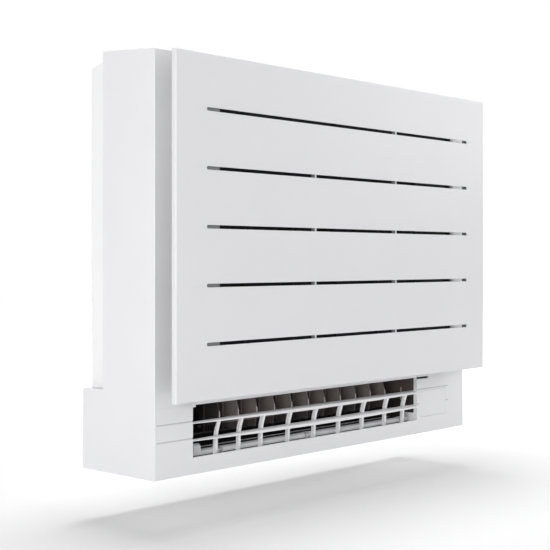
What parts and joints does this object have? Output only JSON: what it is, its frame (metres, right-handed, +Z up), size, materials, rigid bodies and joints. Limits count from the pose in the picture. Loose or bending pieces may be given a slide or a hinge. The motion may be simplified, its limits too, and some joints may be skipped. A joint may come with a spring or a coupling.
{
  "type": "floor standing air conditioner indoor unit",
  "caption": "Low white floor standing air conditioner with a slotted front panel, a gridded lower outlet, louvre blades and an upper outlet flap.",
  "frame": {"origin": "bottom centre of the bounding box, on the floor", "axes": "+X to the right as seen from the room, -Y towards the room, +Y towards the wall, +Z up"},
  "size_m": [0.75, 0.203, 0.604],
  "materials": {
    "white_abs": "fine satin",
    "dark_plastic": "matt",
    "grey_plastic": "matt",
    "mesh": "woven mesh",
    "aluminium": "bare fins",
    "galvanised_steel": "zinc coated",
    "bright_steel": "zinc plated",
    "copper": "bare copper",
    "brass": "machined",
    "circuit_board": "solder mask"
  },
  "bodies": {
    "base": {"bell_mouth": "dark_plastic", "button_switch": "circuit_board", "coil_thermistor": "copper", "control_board": "circuit_board", "deodorising_filters": "dark_plastic", "display_board": "circuit_board", "display_cover": "white_abs", "drain_hose": "grey_plastic", "drain_pan": "grey_plastic", "electrical_box": "galvanised_steel", "electrical_box_cover": "galvanised_steel", "end_plates": "galvanised_steel", "exchanger_tubes": "copper", "fan_motor": "galvanised_steel", "fin_pack": "aluminium", "flare_unions": "brass", "front_casing": "white_abs", "lower_duct": "dark_plastic", "motor_bracket": "galvanised_steel", "outlet_grid": "white_abs", "panel_clips": "grey_plastic", "partition": "galvanised_steel", "rear_frame": "white_abs", "refrigerant_pipes": "copper", "screws": "bright_steel", "side_guides": "dark_plastic", "swing_motors": "galvanised_steel", "terminal_block": "circuit_board", "upper_duct": "dark_plastic"},
    "front_panel": {"front_panel": "white_abs", "panel_carrier": "white_abs"},
    "upper_flap": {"upper_flap": "white_abs"},
    "lower_flap": {"lower_flap": "white_abs"},
    "fan": {"turbo_fan": "grey_plastic", "fan_nut": "bright_steel", "fan_shaft": "bright_steel"},
    "air_filter": {"filter_frame": "dark_plastic", "filter_mesh": "mesh"},
    "power_button": {"power_button": "white_abs"},
    "lower_tie_bar": {"lower_tie_bar": "dark_plastic"},
    "upper_tie_bar": {"upper_tie_bar": "dark_plastic"},
    "lower_louvre_01": {"lower_louvre_01": "dark_plastic"},
    "lower_louvre_02": {"lower_louvre_02": "dark_plastic"},
    "lower_louvre_03": {"lower_louvre_03": "dark_plastic"},
    "lower_louvre_04": {"lower_louvre_04": "dark_plastic"},
    "lower_louvre_05": {"lower_louvre_05": "dark_plastic"},
    "lower_louvre_06": {"lower_louvre_06": "dark_plastic"},
    "lower_louvre_07": {"lower_louvre_07": "dark_plastic"},
    "lower_louvre_08": {"lower_louvre_08": "dark_plastic"},
    "lower_louvre_09": {"lower_louvre_09": "dark_plastic"},
    "lower_louvre_10": {"lower_louvre_10": "dark_plastic"},
    "lower_louvre_11": {"lower_louvre_11": "dark_plastic"},
    "upper_louvre_1": {"upper_louvre_1": "dark_plastic"},
    "upper_louvre_2": {"upper_louvre_2": "dark_plastic"},
    "upper_louvre_3": {"upper_louvre_3": "dark_plastic"},
    "upper_louvre_4": {"upper_louvre_4": "dark_plastic"},
    "upper_louvre_5": {"upper_louvre_5": "dark_plastic"},
    "upper_louvre_6": {"upper_louvre_6": "dark_plastic"},
    "upper_louvre_7": {"upper_louvre_7": "dark_plastic"}
  },
  "joints": [
    {"name": "panel_hinge", "type": "hinge", "parent": "base", "child": "front_panel", "pos_m": [0, -0.0665, 0.121], "axis": [1, 0, 0], "range_deg": [0, 25]},
    {"name": "upper_flap_hinge", "type": "hinge", "parent": "base", "child": "upper_flap", "pos_m": [0, 0.0262, 0.59535], "axis": [-1, 0, 0], "range_deg": [0, 65]},
    {"name": "lower_flap_hinge", "type": "hinge", "parent": "base", "child": "lower_flap", "pos_m": [0, -0.0325, 0.0235], "axis": [1, 0, 0], "range_deg": [0, 26]},
    {"name": "fan_spin", "type": "hinge", "parent": "base", "child": "fan", "pos_m": [-0.0355, 0.0375, 0.3245], "axis": [0, 1, 0], "continuous": true},
    {"name": "filter_slide", "type": "slide", "parent": "base", "child": "air_filter", "axis": [0, 0, 1], "range_m": [0, 0.43]},
    {"name": "button_press", "type": "slide", "parent": "base", "child": "power_button", "axis": [0, 1, 0], "range_m": [0, 0.0015], "stiffness_N_per_m": 900, "springref_m": -0.001},
    {"name": "lower_louvre_01_pivot", "type": "hinge", "parent": "base", "child": "lower_louvre_01", "pos_m": [-0.216, 0.0115, 0.07], "axis": [0, 0, 1], "range_deg": [-30, 30]},
    {"name": "lower_louvre_02_pivot", "type": "hinge", "parent": "base", "child": "lower_louvre_02", "pos_m": [-0.1758, 0.0115, 0.07], "axis": [0, 0, 1], "range_deg": [-30, 30]},
    {"name": "lower_louvre_03_pivot", "type": "hinge", "parent": "base", "child": "lower_louvre_03", "pos_m": [-0.1356, 0.0115, 0.07], "axis": [0, 0, 1], "range_deg": [-30, 30]},
    {"name": "lower_louvre_04_pivot", "type": "hinge", "parent": "base", "child": "lower_louvre_04", "pos_m": [-0.0954, 0.0115, 0.07], "axis": [0, 0, 1], "range_deg": [-30, 30]},
    {"name": "lower_louvre_05_pivot", "type": "hinge", "parent": "base", "child": "lower_louvre_05", "pos_m": [-0.0552, 0.0115, 0.07], "axis": [0, 0, 1], "range_deg": [-30, 30]},
    {"name": "lower_louvre_06_pivot", "type": "hinge", "parent": "base", "child": "lower_louvre_06", "pos_m": [-0.015, 0.0115, 0.07], "axis": [0, 0, 1], "range_deg": [-30, 30]},
    {"name": "lower_louvre_07_pivot", "type": "hinge", "parent": "base", "child": "lower_louvre_07", "pos_m": [0.0252, 0.0115, 0.07], "axis": [0, 0, 1], "range_deg": [-30, 30]},
    {"name": "lower_louvre_08_pivot", "type": "hinge", "parent": "base", "child": "lower_louvre_08", "pos_m": [0.0654, 0.0115, 0.07], "axis": [0, 0, 1], "range_deg": [-30, 30]},
    {"name": "lower_louvre_09_pivot", "type": "hinge", "parent": "base", "child": "lower_louvre_09", "pos_m": [0.1056, 0.0115, 0.07], "axis": [0, 0, 1], "range_deg": [-30, 30]},
    {"name": "lower_louvre_10_pivot", "type": "hinge", "parent": "base", "child": "lower_louvre_10", "pos_m": [0.1458, 0.0115, 0.07], "axis": [0, 0, 1], "range_deg": [-30, 30]},
    {"name": "lower_louvre_11_pivot", "type": "hinge", "parent": "base", "child": "lower_louvre_11", "pos_m": [0.186, 0.0115, 0.07], "axis": [0, 0, 1], "range_deg": [-30, 30]},
    {"name": "lower_tie_bar_pivot", "type": "hinge", "parent": "lower_louvre_11", "child": "lower_tie_bar", "pos_m": [0.186, 0.0245, 0.051], "axis": [0, 0, 1], "range_deg": [-30, 30]},
    {"name": "upper_louvre_1_pivot", "type": "hinge", "parent": "base", "child": "upper_louvre_1", "pos_m": [-0.248, -0.0005, 0.55], "axis": [0, 1, 0], "range_deg": [-30, 30]},
    {"name": "upper_louvre_2_pivot", "type": "hinge", "parent": "base", "child": "upper_louvre_2", "pos_m": [-0.17717, -0.0005, 0.55], "axis": [0, 1, 0], "range_deg": [-30, 30]},
    {"name": "upper_louvre_3_pivot", "type": "hinge", "parent": "base", "child": "upper_louvre_3", "pos_m": [-0.10633, -0.0005, 0.55], "axis": [0, 1, 0], "range_deg": [-30, 30]},
    {"name": "upper_louvre_4_pivot", "type": "hinge", "parent": "base", "child": "upper_louvre_4", "pos_m": [-0.0355, -0.0005, 0.55], "axis": [0, 1, 0], "range_deg": [-30, 30]},
    {"name": "upper_louvre_5_pivot", "type": "hinge", "parent": "base", "child": "upper_louvre_5", "pos_m": [0.03533, -0.0005, 0.55], "axis": [0, 1, 0], "range_deg": [-30, 30]},
    {"name": "upper_louvre_6_pivot", "type": "hinge", "parent": "base", "child": "upper_louvre_6", "pos_m": [0.10617, -0.0005, 0.55], "axis": [0, 1, 0], "range_deg": [-30, 30]},
    {"name": "upper_louvre_7_pivot", "type": "hinge", "parent": "base", "child": "upper_louvre_7", "pos_m": [0.177, -0.0005, 0.55], "axis": [0, 1, 0], "range_deg": [-30, 30]},
    {"name": "upper_tie_bar_pivot", "type": "hinge", "parent": "upper_louvre_7", "child": "upper_tie_bar", "pos_m": [0.177, 0.029, 0.563], "axis": [0, 1, 0], "range_deg": [-30, 30]}
  ],
  "couplings": [
    {"joint": "lower_louvre_01_pivot", "follows": "lower_louvre_11_pivot", "ratio": 1},
    {"joint": "lower_louvre_02_pivot", "follows": "lower_louvre_11_pivot", "ratio": 1},
    {"joint": "lower_louvre_03_pivot", "follows": "lower_louvre_11_pivot", "ratio": 1},
    {"joint": "lower_louvre_04_pivot", "follows": "lower_louvre_11_pivot", "ratio": 1},
    {"joint": "lower_louvre_05_pivot", "follows": "lower_louvre_11_pivot", "ratio": 1},
    {"joint": "lower_louvre_06_pivot", "follows": "lower_louvre_11_pivot", "ratio": 1},
    {"joint": "lower_louvre_07_pivot", "follows": "lower_louvre_11_pivot", "ratio": 1},
    {"joint": "lower_louvre_08_pivot", "follows": "lower_louvre_11_pivot", "ratio": 1},
    {"joint": "lower_louvre_09_pivot", "follows": "lower_louvre_11_pivot", "ratio": 1},
    {"joint": "lower_louvre_10_pivot", "follows": "lower_louvre_11_pivot", "ratio": 1},
    {"joint": "lower_tie_bar_pivot", "follows": "lower_louvre_11_pivot", "ratio": -1},
    {"joint": "upper_louvre_1_pivot", "follows": "upper_louvre_7_pivot", "ratio": 1},
    {"joint": "upper_louvre_2_pivot", "follows": "upper_louvre_7_pivot", "ratio": 1},
    {"joint": "upper_louvre_3_pivot", "follows": "upper_louvre_7_pivot", "ratio": 1},
    {"joint": "upper_louvre_4_pivot", "follows": "upper_louvre_7_pivot", "ratio": 1},
    {"joint": "upper_louvre_5_pivot", "follows": "upper_louvre_7_pivot", "ratio": 1},
    {"joint": "upper_louvre_6_pivot", "follows": "upper_louvre_7_pivot", "ratio": 1},
    {"joint": "upper_tie_bar_pivot", "follows": "upper_louvre_7_pivot", "ratio": -1}
  ]
}
